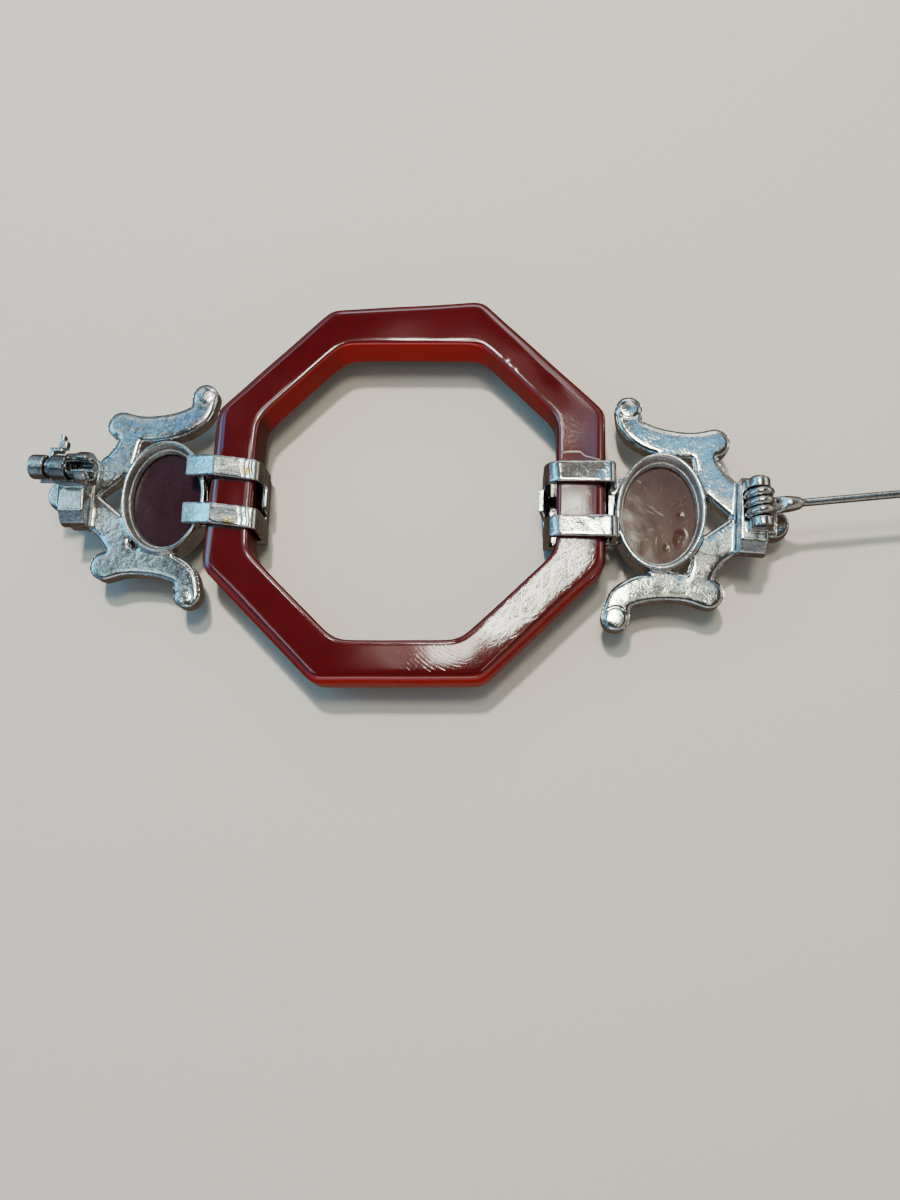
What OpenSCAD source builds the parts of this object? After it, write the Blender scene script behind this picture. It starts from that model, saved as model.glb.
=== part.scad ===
// Brooch lying face down, pin open: X to the hinge end, Y across, Z up to the back. Units are mm.

/* [Ring] */
// Mean distance between opposite outer sides of the ring
ring_flats = 51.2; // [45:0.1:56]
// Mean width of the ring's bar, seen from the back
ring_bar = 5.6; // [4.5:0.05:6.5]
// Thickness of the ring
ring_t = 5.76; // [4.5:0.01:6]
// Rounding of the ring's long edges
ring_round = 1.3; // [0.4:0.05:2]
// Bevel of the edge between the ring's back and its opening
ring_lip = 0.5; // [0.3:0.05:1]
// Share of the hand-cut unevenness, 0 for an even octagon
ring_uneven = 1; // [0:0.05:1]
// Height of the ring's back over the ground
back_z = 7; // [6.8:0.05:8]

/* [End pieces] */
// Height of the scrolls' backs over the ground
scroll_z = 5.2; // [4.8:0.05:5.6]
// Thickness of the scrolls
scroll_t = 2.3; // [1.5:0.05:3]
// Thickness of the V bars
bar_t = 1.8; // [1:0.05:2.4]
// Radius of the round bead at the outer tip
bead_r = 2.2; // [1.6:0.05:2.4]

/* [Collars and stones] */
// Width of a collar, along the brooch
collar_w = 11.2; // [10:0.05:12]
// Length of a collar, across the brooch
collar_l = 15.5; // [14:0.05:16.5]
// Wall of a collar
collar_wall = 0.55; // [0.4:0.05:0.8]
// Height of a collar's back rim over the ground
collar_z = 6.1; // [5.8:0.05:6.5]
// Width of the ledge that the stone rests against
ledge_w = 0.75; // [0.4:0.05:1.2]
// Gap around each stone
stone_gap = 0.05; // [0.03:0.01:0.12]

/* [Straps] */
// Width of a strap
strap_w = 2.8; // [2:0.05:3.4]
// Thickness of a strap
strap_t = 0.75; // [0.5:0.05:1]
// Gap between a strap and the ring's back
strap_gap = 0.05; // [0.03:0.01:0.2]
// Half width of the front plate under the ring
plate_half = 4.5; // [4:0.1:5.5]
// Thickness of the front plate
plate_t = 1.2; // [0.8:0.05:1.2]

/* [Hinge and pin] */
// Diameter of the pin wire
wire_d = 1; // [0.8:0.05:1.1]
// Mean radius of the coil at the pin's root
coil_r = 1.25; // [1.15:0.01:1.4]
// Clearance of the coil on its rivet
rivet_gap = 0.05; // [0.02:0.01:0.1]
// Height of the hinge axis over the ground
hinge_z = 8.55; // [8.3:0.05:8.9]
// Thickness of a hinge ear
ear_t = 1.25; // [0.8:0.05:1.5]
// Direction of the open pin, counted from X
open_ang = 5.36; // [0:0.01:8]
// Length of the tapered point
point_l = 7; // [4:0.5:12]

/* [Safety catch] */
// Outer radius of the catch barrel
barrel_r = 1.65; // [1.55:0.05:1.8]
// Outer radius of the turning sleeve
sleeve_r = 1.2; // [1.1:0.01:1.25]
// Clearance of the sleeve in the barrel
sleeve_gap = 0.05; // [0.02:0.01:0.1]
// Radius of the bore that takes the pin
bore_r = 0.72; // [0.6:0.01:0.8]
// Width of the slot that lets the pin in
slot_w = 1.34; // [1.2:0.01:1.4]
// Reach of the thumb tab from the axis
tab_reach = 4.4; // [3.5:0.1:5]

/* [Hidden] */
$fn = 64;

// Ring sides, columns: normal, outer tilt, outer surplus, inner tilt, inner surplus.
SIDES = [
  [  0, -1.3,  0.10, -1.3, -0.55],
  [ 45, -0.3, -0.06, -1.2,  0.45],
  [ 90,  2.4,  0.25, -0.9, -0.40],
  [135,  0.1, -0.13,  0.2,  0.20],
  [180, -1.0, -0.13, -1.0, -0.50],
  [225,  0.5,  0.18,  0.8,  0.06],
  [270,  0.6, -0.06,  0.4,  0.23],
  [315, -1.0, -0.13, -1.2, -0.25]
];

// End pieces, columns: collar centre x, centre y, turn, strap middle y, strap spacing, strap slant,
// inner side of the legs, bend radius, inward lean of the claw, outward lean of the legs' feet.
CATCH = [-31.65, -1.15, 0.7, -1.0, 6.5, 0.11, 18.5, 1.5, 0.8, 0.45];
HINGE = [32.50, -3.40, -4.5, -2.3, 7.15, -0.01, 17.9, 2.2, 0.7, 0];

// Hand-set places of the parts of an end, rows: upper scroll, lower scroll, V bars, block.
// Columns: outward, across.
CATCH_SET = [[0.3, 0.55], [0.75, 0.85], [0.2, 0.45], [0.3, 1.1]];
HINGE_SET = [[0, 0], [-0.25, 0], [0, 0], [0, 0]];

// Middle line of a scroll, columns: x, y, half width. Its far end is the small hook.
SCROLL = [
  [ 6.6, 10.00, 1.90],
  [ 4.2,  9.50, 1.80],
  [ 1.2,  9.45, 1.85],
  [-1.8, 10.10, 1.80],
  [-4.1, 11.60, 1.60],
  [-4.6, 13.95, 1.72]
];
SPAN_STEPS = 6;

ring_front_z = back_z - ring_t;
ring_inner = ring_flats/2 - ring_bar;
collar_front_z = 1.9;
ledge_front_z = collar_z - 2;
ledge_edge = 0.2;
rim_cut = 0.1;
stone_back_z = ledge_front_z - stone_gap;
stone_belt_z = 2.7;
stone_top_z = 0.4;
bar_z = scroll_z;
block_top_z = 7.9;
block_x = [9.35, 12.65];
hinge_xy = [43.95, -3.47];
catch_xy = [-43.7, 1.2];
catch_z = hinge_z + coil_r;
closed_ang = atan2(catch_xy[1] - hinge_xy[1], catch_xy[0] - hinge_xy[0]);
hinge_turn = (open_ang + closed_ang)/2 - 90;
lean = open_ang - hinge_turn;
tip_stop = 1.4;
pin_l = norm(catch_xy - hinge_xy) - tip_stop;
coil_pitch = wire_d + 0.3;
coil_out = coil_r + wire_d/2;
slot_half = coil_pitch + wire_d/2 + 0.08;
shoulder_r = 0.8;
E = 0.01;

// Middle of the brooch as it lies with its pin open, counted from the ring's centre.
MIDDLE = [40.8, 0.32];

module in_frame() {
  translate([-MIDDLE[0], -MIDDLE[1], 0]) children();
}

// Ring

// The sections below run past the ring by a little more for each side k, so no two share a plane.

module outer_slab(d, k) {
  // all that lies inside the line at distance d, with the ring's outer edges rounded
  rotate([90, 0, 0]) linear_extrude(140 + k, center = true) union() {
    translate([d - 90, ring_front_z - 1 - 0.1*k]) square([90 - ring_round, ring_t + 2 + 0.2*k]);
    translate([d - 80, ring_front_z + ring_round]) square([80, ring_t - 2*ring_round]);
    for (z = [ring_front_z + ring_round, back_z - ring_round])
      translate([d - ring_round, z]) circle(ring_round);
  }
}

module inner_slab(d, k) {
  // room inside the line at distance d, flaring out around the ring's inner edges
  low = ring_front_z + ring_round;
  far = d + 20;
  rotate([90, 0, 0]) linear_extrude(140 + k, center = true) difference() {
    translate([d - 90, ring_front_z - 1 - 0.1*k]) square([90 + ring_round, ring_t + 2 + 0.2*k]);
    translate([d + ring_round, low]) circle(ring_round);
    polygon([[d, low], [d, back_z - ring_lip], [d + ring_lip, back_z], [far, back_z + 5], [far, low]]);
  }
}

module ring() {
  color([0.45, 0.03, 0.06]) difference() {
    intersection() {
      translate([0, 0, ring_front_z]) cylinder(r = 40, h = ring_t);
      intersection_for (k = [0:7])
        rotate(SIDES[k][0] + ring_uneven*SIDES[k][1])
          outer_slab(ring_flats/2 + ring_uneven*SIDES[k][2], k);
    }
    intersection_for (k = [0:7])
      rotate(SIDES[k][0] + ring_uneven*SIDES[k][3])
        inner_slab(ring_inner + ring_uneven*SIDES[k][4], k);
  }
}

// End pieces, drawn with X outward and the collar in the middle

module place(e) {
  // the catch end is the mirror image of the hinge end
  translate([e[0], e[1], 0]) rotate(e[2]) mirror([e[0] < 0 ? 1 : 0, 0, 0]) children();
}

function spline(a, b, c, d, t) =
  0.5*(2*b + (c - a)*t + (2*a - 5*b + 4*c - d)*t*t + (3*b - a - 3*c + d)*t*t*t);
function knot(i) = SCROLL[max(0, min(len(SCROLL) - 1, i))];
function spine(k) = let (i = floor(k/SPAN_STEPS), t = k/SPAN_STEPS - i)
  spline(knot(i - 1), knot(i), knot(i + 1), knot(i + 2), t);
SPINE_N = (len(SCROLL) - 1)*SPAN_STEPS;
function heading(k) = let (d = spine(min(SPINE_N, k + 0.5)) - spine(max(0, k - 0.5)))
  atan2(d[1], d[0]);
function beside(k, side) = let (p = spine(k), h = heading(k) + 90*side)
  [p[0] + p[2]*cos(h), p[1] + p[2]*sin(h)];

module scroll_2d() {
  polygon(concat([for (k = [0:SPINE_N]) beside(k, 1)], [for (k = [SPINE_N:-1:0]) beside(k, -1)]));
  for (p = [SCROLL[0], SCROLL[len(SCROLL) - 1]])
    translate([p[0], p[1]]) circle(p[2]);
}

module oval(w, l, h) {
  scale([w/l, 1, 1]) cylinder(d = l, h = h);
}

module collar_hollow() {
  w = collar_w - 2*collar_wall;
  l = collar_l - 2*collar_wall;
  cone_z = ledge_front_z + ledge_edge;
  spread = (ledge_w + rim_cut)/(collar_z - cone_z);
  translate([0, 0, -1]) oval(w, l, ledge_front_z + 1);
  scale([w/l, 1, 1]) {
    translate([0, 0, ledge_front_z - 1]) cylinder(d = l - 2*ledge_w, h = 2);
    // the back opens out from the ledge's edge to the rim
    translate([0, 0, cone_z])
      cylinder(d1 = l - 2*ledge_w, d2 = l - 2*ledge_w + 6*spread, h = 3);
  }
}

module collar() {
  translate([0, 0, collar_front_z]) oval(collar_w, collar_l, collar_z - collar_front_z);
}

module v_bar_2d() {
  polygon([[3.5, 8.6], [3.95, 6.4], [4.1, 5.3], [5, 3], [8.7, 0], [8.7, -0.3], [12.6, -0.3],
           [12.4, 4.3], [10.6, 4.3], [9.4, 4.8], [8.2, 5.8], [7.2, 7.2], [6.7, 8.6]]);
}

module block() {
  // arched bar that lifts the finding, its ends cut to a slope
  translate([block_x[0], 0, 0]) rotate([90, 0, 90]) linear_extrude(block_x[1] - block_x[0])
    polygon([[-4, bar_z - 0.6], [-5.2, 5.6], [-5.25, 6.3], [-5.05, 6.95], [-3.6, block_top_z],
             [3.6, block_top_z], [4.6, 7.2], [4.6, bar_z - 0.6]]);
}

module bead() {
  translate([14.2, 0, 0]) intersection() {
    translate([0, 0, 3]) sphere(bead_r);
    translate([-4, -4, 0]) cube([8, 8, 4.2]);
  }
}

module end_shape(set) {
  for (m = [0, 1]) {
    translate([set[m][0], set[m][1], scroll_z - scroll_t]) mirror([0, m, 0])
      linear_extrude(scroll_t) scroll_2d();
    translate([set[2][0], set[2][1], bar_z - bar_t]) mirror([0, m, 0])
      linear_extrude(bar_t) v_bar_2d();
  }
  collar();
  translate([set[3][0], set[3][1], 0]) {
    translate([12, -1.6, bar_z - bar_t]) cube([2.4, 3.2, bar_t]);
    block();
    bead();
  }
}

// Straps, claw and front plate, drawn with X outward from the ring's centre

module strap_side(leg_x, bend_r, foot, sloped) {
  // profile of a strap from the claw side over the ring's back to the collar
  top = back_z + strap_gap + strap_t;
  bend_x = leg_x + bend_r;
  polygon([[leg_x + foot, plate_t - 0.2], [leg_x, plate_t + 1], [leg_x, top - bend_r + E],
           [leg_x + strap_t, top - bend_r + E], [leg_x + strap_t, plate_t + 1],
           [leg_x + foot + strap_t, plate_t - 0.2]]);
  intersection() {
    translate([bend_x, top - bend_r]) difference() {
      circle(bend_r);
      circle(bend_r - strap_t);
    }
    translate([leg_x - 1, top - bend_r]) square([bend_r + 1 + E, bend_r + 1]);
  }
  if (sloped) {
    translate([bend_x, top - strap_t]) square([25.4 - bend_x + E, strap_t]);
    polygon([[25.4, top], [25.4, top - strap_t], [28.6, collar_z - 0.05],
             [28.6, collar_z - 0.05 + strap_t]]);
    translate([26.15, collar_z - 0.6]) square([0.9, 1.2]);
  } else {
    translate([bend_x, top - strap_t]) square([25.95 - bend_x, strap_t]);
    intersection() {
      translate([25.95, top - 1]) difference() {
        circle(1);
        circle(1 - strap_t);
      }
      translate([25.95 - E, top - 1]) square([2, 2]);
    }
    translate([26.95 - strap_t, 3.6]) square([strap_t, top - 1 - 3.6 + E]);
  }
}

module from_ring(e) {
  translate([0, e[3], 0]) mirror([e[0] < 0 ? 1 : 0, 0, 0]) children();
}

module over_ring(e) {
  // straps and front plate run at a slant across the ring's bar
  from_ring(e) multmatrix([[1, 0, 0, 0], [e[5], 1, 0, -23.5*e[5]], [0, 0, 1, 0]]) children();
}

module straps(e, sloped) {
  over_ring(e) for (y = [-0.5, 0.5]*e[4])
    translate([0, y + strap_w/2, 0]) rotate([90, 0, 0]) linear_extrude(strap_w)
      strap_side(e[6], e[7], e[9], sloped);
}

module bridge(e) {
  plate_x = e[6] + e[9];
  over_ring(e) {
    translate([plate_x, -plate_half, 0]) cube([27.2 - plate_x, 2*plate_half, plate_t]);
    translate([plate_x, 2.2, 0]) rotate([90, 0, 0]) linear_extrude(3)
      polygon([[0, 0.4], [strap_t, 0.4], [strap_t - e[8], 4.6], [-e[8], 4.6]]);
  }
  from_ring(e) translate([25.98, -3.9, 0.2]) cube([2.6, 7.8, 4.4]);
}

module end_piece(e, set, sloped) {
  difference() {
    union() {
      place(e) end_shape(set);
      bridge(e);
    }
    place(e) collar_hollow();
  }
  straps(e, sloped);
}

// Hinge and pin, drawn with Y along the hinge axis

module at_hinge() {
  translate([hinge_xy[0], hinge_xy[1], hinge_z]) rotate(hinge_turn) children();
}

module ears() {
  for (y = [slot_half, -slot_half - ear_t]) translate([0, y, 0]) {
    translate([0, ear_t, 0]) rotate([90, 0, 0]) cylinder(r = 1.4, h = ear_t);
    translate([-1.4, 0, -1.6]) cube([2.8, ear_t, 1.6]);
  }
  rivet_l = 2*(slot_half + ear_t);
  translate([0, rivet_l/2, 0]) rotate([90, 0, 0])
    cylinder(r = coil_r - wire_d/2 - rivet_gap, h = rivet_l);
  translate([0, rivet_l/2 + 0.3, 0]) rotate([90, 0, 0]) cylinder(r = 0.95, h = 0.3);
}

module coil_room() {
  // room for the coil, open upward and to the tip side
  translate([0, slot_half, 0]) rotate([90, 0, 0]) cylinder(r = coil_out + 0.1, h = 2*slot_half);
  translate([0, -slot_half, -coil_r - shoulder_r - 0.15])
    cube([4, 2*slot_half, coil_r + shoulder_r + 3]);
}

module pin_shape() {
  // coil
  for (y = [-1, 0, 1]*coil_pitch) translate([0, y, 0]) rotate([90, 0, 0])
    rotate_extrude() translate([coil_r, 0]) circle(wire_d/2);
  translate([-coil_r*cos(40), coil_pitch, -coil_r*sin(40)]) rotate([90, 0, 0])
    cylinder(r = 0.4, h = 2*coil_pitch);
  // wire with its shoulder and point
  translate([0, 0, -coil_r]) rotate([0, 90, lean]) {
    cylinder(d = wire_d, h = pin_l - point_l);
    difference() {
      translate([0, 0, 1.9]) cylinder(r = shoulder_r, h = 1.3);
      translate([0, 0, 1.9]) rotate([0, -50, 0]) translate([-3.35, -2, -2]) cube([3, 4, 4]);
    }
    translate([0, 0, 3.2]) cylinder(r1 = shoulder_r, r2 = wire_d/2, h = 2.2);
    translate([0, 0, pin_l - point_l]) cylinder(r1 = wire_d/2, r2 = 0.12, h = point_l);
  }
}

// Safety catch, drawn with X along the closed pin, towards the hinge

module at_catch() {
  translate([catch_xy[0], catch_xy[1], catch_z]) rotate(closed_ang - 180) children();
}

module along_x(x0, x1, r) {
  translate([x0, 0, 0]) rotate([0, 90, 0]) cylinder(r = r, h = x1 - x0);
}

module catch_housing() {
  difference() {
    union() {
      along_x(-3.7, -1.75, 1.6);
      along_x(-1, 1.15, barrel_r);
      along_x(2.6, 4.1, 2.2);
      translate([-3.5, -1.5, block_top_z - catch_z - 0.1]) cube([7.6, 2.6, 0.5]);
    }
    along_x(-1.75, 5, sleeve_r + sleeve_gap);
    translate([2, -slot_w/2 - 0.08, 0]) cube([3, slot_w + 0.16, 4]);
  }
}

module catch_sleeve() {
  color([0.72, 0.73, 0.75]) at_catch() {
    difference() {
      along_x(-1.68, 4, sleeve_r);
      along_x(0.9, 5, bore_r);
      translate([0.9 + 0.3, -slot_w/2, 0]) cube([4, slot_w, 3]);
    }
    // thumb tab, stepped over the barrel, with its folded side
    translate([-1.65, 0.9, -0.5]) cube([0.55, 1.7, 1]);
    translate([-1.65, 2.05, -0.5]) cube([1.65, 0.55, 1]);
    translate([-0.55, 2.05, -0.5]) cube([0.55, tab_reach - 2.05, 1]);
    translate([-0.1, 2.5, -0.5]) cube([0.6, 1.1, 1]);
  }
}

// Pieces

module stone(e) {
  w = collar_w - 2*collar_wall - 2*stone_gap;
  l = collar_l - 2*collar_wall - 2*stone_gap;
  dome_h = stone_belt_z - stone_top_z;
  dome_r = (l*l/4 + dome_h*dome_h)/(2*dome_h);
  // an oval slab cut from a dome that is drawn out in the same measure
  translate([e[0], e[1], stone_top_z]) rotate(e[2]) intersection() {
    translate([0, 0, -1]) oval(w, l, stone_back_z - stone_top_z + 1);
    translate([0, 0, dome_r]) scale([w/l, 1, 1]) sphere(dome_r, $fn = 120);
  }
}

module catch_end() {
  color([0.78, 0.79, 0.80]) union() {
    end_piece(CATCH, CATCH_SET, true);
    at_catch() catch_housing();
  }
}

module hinge_end() {
  color([0.78, 0.79, 0.80]) union() {
    difference() {
      end_piece(HINGE, HINGE_SET, false);
      at_hinge() coil_room();
    }
    at_hinge() ears();
  }
}

module stone_catch_end() {
  color([0.33, 0.20, 0.22]) stone(CATCH);
}

module stone_hinge_end() {
  color([0.33, 0.20, 0.22]) stone(HINGE);
}

module pin() {
  color([0.62, 0.63, 0.65]) at_hinge() pin_shape();
}

in_frame() ring();
in_frame() catch_end();
in_frame() hinge_end();
in_frame() stone_catch_end();
in_frame() stone_hinge_end();
in_frame() catch_sleeve();
in_frame() pin();
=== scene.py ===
"""The looks of a silver brooch with a dark red octagonal ring, lying face down with its pin open."""

import math

import bpy
import numpy as np
from mathutils import Matrix, Vector, kdtree, noise


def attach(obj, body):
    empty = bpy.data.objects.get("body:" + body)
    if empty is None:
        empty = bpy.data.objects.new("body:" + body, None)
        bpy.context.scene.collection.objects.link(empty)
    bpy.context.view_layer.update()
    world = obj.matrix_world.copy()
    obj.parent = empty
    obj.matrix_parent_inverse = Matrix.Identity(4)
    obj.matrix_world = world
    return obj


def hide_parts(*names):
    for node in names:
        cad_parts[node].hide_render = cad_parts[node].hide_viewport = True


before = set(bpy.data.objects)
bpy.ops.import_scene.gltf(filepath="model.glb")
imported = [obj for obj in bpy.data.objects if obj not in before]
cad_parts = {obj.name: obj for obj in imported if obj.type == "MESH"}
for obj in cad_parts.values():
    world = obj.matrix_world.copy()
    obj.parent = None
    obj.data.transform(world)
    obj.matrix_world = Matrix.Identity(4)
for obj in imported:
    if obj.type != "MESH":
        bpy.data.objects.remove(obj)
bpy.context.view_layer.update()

# Sizes and places are in mm, counted from the ring's centre on the ground, unless a name says otherwise. Turns are
# in degrees.
MM = 0.001
RING_CENTRE = np.array([-40.8, -0.32, 0.0])

# The ring, as in the construction. Sides: normal, outer tilt, outer surplus, inner tilt, inner surplus.
RING_HALF = 25.6
RING_BAR = 5.6
RING_FRONT_Z = 1.24
RING_BACK_Z = 7.0
RING_ROUND = 1.3
RING_LIP = 0.62
RING_CROWN = 0.2
RING_SIDES = [
    (0, -1.3, 0.10, -1.3, -0.55),
    (45, -0.3, -0.06, -1.2, 0.45),
    (90, 2.4, 0.25, -0.9, -0.40),
    (135, 0.1, -0.13, 0.2, 0.20),
    (180, -1.0, -0.13, -1.0, -0.50),
    (225, 0.5, 0.18, 0.8, 0.06),
    (270, 0.6, -0.06, 0.4, 0.23),
    (315, -1.0, -0.13, -1.2, -0.25),
]
# Which columns of RING_SIDES give the outline and the opening, as tilt and surplus, and how sharp their corners
# are: higher is sharper.
OUTLINE = (1, 2, 80)
OPENING = (3, 4, 40)
# The slow unevenness of the whole ring: size and depth.
RING_WAVES = (6.0, 0.06)
# Chips and knocks in the ring's back: x, y, radius, depth.
RING_CHIPS = [
    (13.0, 16.9, 0.60, 0.035),
    (14.0, 15.6, 0.45, 0.025),
]

# The ends, as in the construction. crinkle is how deep the backs of the scrolls are crinkled, and paint holds what
# silver() is told of the end.
ENDS = {
    "catch_end": {
        "centre": (-31.65, -1.15), "turn": 0.7, "crinkle": 0.020,
        "paint": {"solder": ((-20.2, 1.6, 7.8), (-22.1, -5.3, 7.8)), "soft": (-43.7, 1.2, 9.8, 4.0),
                  # The next entry paints a bluish dark around the catch: a painted dark reflection.
                  "painted_dark_reflection": (-43.2, 1.0, 10.6, 2.2), "crazed": 0.40},
    },
    "hinge_end": {
        "centre": (32.50, -3.40), "turn": -4.5, "crinkle": 0.006,
        "paint": {"shine": 0.075, "frosted": 0.03, "crazed": 0.18, "soft": (43.95, -3.47, 9.0, 3.4)},
    },
}
SCROLL_Z = 5.2
# Half the width and half the length of the inside of each collar.
BORE_HALF = (5.24, 7.39)

STONE_W = 10.0
STONE_L = 14.3
STONE_TOP_Z = 0.4
STONE_BELT_Z = 2.7
STONE_BACK_Z = 4.05

# The pin: the middle of its coil, how far the hinge's axis is turned, and how far the wire leans from there.
HINGE = (43.95, -3.47, 8.55)
HINGE_TURN = 1.155
PIN_LEAN = 4.205
PIN_L = 86.37
COIL_R = 1.25
COIL_WIRE_R = 0.56
WIRE_R = 0.5
SHOULDER_R = 1.05

# The camera of the photograph: its place, and which way its right and up sides point.
CAMERA_AT = (13.36, -41.64, 114.17)
CAMERA_RIGHT = Vector((0.9979, 0.0185, -0.0616))
CAMERA_UP = Vector((-0.0032, 0.9711, 0.2388))
CAMERA_LENS = 27.0
CAMERA_SENSOR = 36.0
CAMERA_NEAR = 5.0


def in_row_frame(points):
    """Points in mm, counted from the ring's centre, as metres in the row frame."""
    return (np.asarray(points, float) + RING_CENTRE) * MM


def turned(x, y, degrees):
    """x and y after a turn about the origin, seen from above."""
    turn = math.radians(degrees)
    return x * math.cos(turn) - y * math.sin(turn), x * math.sin(turn) + y * math.cos(turn)


def smooth_step(low, high, values):
    t = np.clip((values - low) / (high - low), 0, 1)
    return t * t * (3 - 2 * t)


class Wiring:
    """The nodes of one tree. Each input takes a number, a colour or the output of another node."""

    def __init__(self, tree):
        self.tree = tree

    def node(self, kind, inputs=(), **settings):
        made = self.tree.nodes.new("ShaderNode" + kind)
        for key, value in settings.items():
            setattr(made, key, value)
        for key, value in dict(inputs).items():
            self.set(made.inputs[key], value)
        return made

    def set(self, socket, value):
        if isinstance(value, bpy.types.NodeSocket):
            self.tree.links.new(value, socket)
        else:
            socket.default_value = value

    def range(self, value, low, high, to_low=0.0, to_high=1.0):
        """to_low where value is low, to_high where it is high, and held at them beyond."""
        return self.node("MapRange", {"Value": value, "From Min": low, "From Max": high, "To Min": to_low,
                                      "To Max": to_high}).outputs["Result"]

    def mix(self, share, a, b):
        """Colour a where share is 0 and colour b where it is 1."""
        return self.node("Mix", {0: share, 6: a, 7: b}, data_type="RGBA").outputs[2]


# Camera, floor and lights


def add_object(name, data):
    made = bpy.data.objects.new(name, data)
    bpy.context.scene.collection.objects.link(made)
    return made


def make_camera():
    data = bpy.data.cameras.new("camera")
    data.sensor_fit = "AUTO"
    data.sensor_width = CAMERA_SENSOR
    data.lens = CAMERA_LENS
    data.clip_start = CAMERA_NEAR * MM
    camera = add_object("camera", data)
    back = CAMERA_RIGHT.cross(CAMERA_UP).normalized()
    up = back.cross(CAMERA_RIGHT).normalized()
    right = up.cross(back)
    facing = Matrix((right, up, back)).transposed().to_4x4()
    camera.matrix_world = Matrix.Translation(in_row_frame(CAMERA_AT)) @ facing
    bpy.context.scene.camera = camera


# The room that the metal mirrors: bluish to the left and warm to the right, with dark warm ground below it.
ROOM_LEFT = (0.42, 0.70, 1.0, 1)
ROOM_RIGHT = (1.0, 0.93, 0.80, 1)
ROOM_GROUND = (0.24, 0.185, 0.14, 1)
# Directions, as X or Z of a length of 1, between which the room turns warm, gets lighter, and ends at the ground.
ROOM_SIDES = (-0.7, 0.7)
ROOM_HEIGHTS = (0.82, 0.55)
ROOM_HORIZON = (0.02, -0.05)
# How bright the room is high up and low down.
ROOM_LEVELS = (0.065, 0.42)


def make_room():
    world = bpy.data.worlds.new("room")
    world.use_nodes = True
    room = Wiring(world.node_tree)
    toward = room.node("SeparateXYZ", {"Vector": room.node("TexCoord").outputs["Generated"]}).outputs
    walls = room.mix(room.range(toward["X"], *ROOM_SIDES), ROOM_LEFT, ROOM_RIGHT)
    background = world.node_tree.nodes["Background"].inputs
    room.set(background["Color"], room.mix(room.range(toward["Z"], *ROOM_HORIZON), walls, ROOM_GROUND))
    room.set(background["Strength"], room.range(toward["Z"], *ROOM_HEIGHTS, *ROOM_LEVELS))
    bpy.context.scene.world = world


# Soft lights that face the ring's centre: the direction that each stands in, its distance and its size in metres,
# then its colour and its power in watts.
FACING_CARDS = {
    "key": ((-0.09, 0.47, 1.0), 0.60, (0.045, 0.045), (1.0, 0.94, 0.85), 4.0),
    "north": ((0.15, 1.60, 1.0), 0.62, (0.40, 0.18), (0.90, 0.96, 1.0), 0.50),
    "low_card": ((-0.10, -0.85, 0.47), 0.60, (0.40, 0.12), (1.0, 0.93, 0.80), 0.20),
    "blue_side": ((-1.0, 0.05, 0.45), 0.60, (0.30, 0.20), (0.16, 0.60, 1.0), 0.48),
    "pale_side": ((1.0, 0.30, 0.50), 0.60, (0.16, 0.16), (1.0, 0.96, 0.86), 0.13),
}

# Flat cards under the ceiling, at a height in metres: the part of it that each one covers, as x and y for each unit
# of height, then its colour and its brightness.
CEILING_Z = 0.58
CEILING_CARDS = {
    "key_glint": (-0.13, -0.05, 0.43, 0.51, (1.0, 0.94, 0.85), 38.0),
    "window": (-0.020, 0.174, 0.150, 0.337, (0.97, 1.0, 0.82), 27.0),
    "window_edge": (-0.075, -0.022, 0.105, 0.185, (1.0, 0.88, 0.76), 13.0),
    "window_far": (-0.150, -0.077, 0.110, 0.175, (1.0, 0.80, 0.70), 1.2),
    "haze": (0.02, 0.115, 0.44, 0.60, (1.0, 0.80, 0.66), 0.28),
    "blue_high": (-0.53, -0.425, 0.45, 0.55, (0.04, 0.42, 1.0), 1.80),
    "cream_left": (-0.573, -0.49, 0.30, 0.45, (0.74, 0.96, 1.0), 1.0),
    "pale_far": (-0.71, -0.575, 0.27, 0.42, (0.62, 0.90, 1.0), 1.9),
    "teal_low": (-0.54, -0.39, 0.205, 0.295, (0.50, 0.85, 1.0), 0.10),
    "strap_cream": (-0.31, -0.20, 0.385, 0.46, (1.0, 1.0, 0.90), 3.0),
    "strap_blue": (-0.31, -0.20, 0.300, 0.375, (0.50, 0.80, 1.0), 0.75),
    "blue_wide": (-1.55, -0.74, 0.05, 0.75, (0.12, 0.64, 1.0), 2.5),
    "blue_right": (0.185, 0.36, 0.355, 0.52, (0.17, 0.62, 1.0), 0.95),
    "blue_far": (0.37, 0.50, 0.36, 0.66, (0.28, 0.68, 1.0), 0.90),
    "cream_right": (0.255, 0.335, 0.24, 0.345, (0.90, 1.0, 0.84), 1.9),
    "block_blue": (0.337, 0.369, 0.24, 0.355, (0.08, 0.45, 1.0), 0.22),
    "north_left": (-0.66, -0.46, 0.60, 1.15, (0.75, 0.92, 1.0), 1.1),
    "north_right": (0.18, 0.37, 0.60, 1.15, (1.0, 1.0, 0.95), 1.6),
    "south_left": (-0.60, -0.40, -0.30, 0.17, (0.60, 0.90, 1.0), 1.4),
    "south_right": (0.20, 0.34, -0.30, 0.16, (1.0, 1.0, 0.85), 0.9),
}
# Watts for each square metre of a card with a brightness of 1.
CARD_POWER = 4
LIT_PLACE = Vector(in_row_frame((0, 0, 0)))


def add_area_light(name, size, colour, power):
    data = bpy.data.lights.new(name, "AREA")
    data.shape = "RECTANGLE"
    data.size, data.size_y = size
    data.color = colour
    data.energy = power
    return add_object(name, data)


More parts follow.
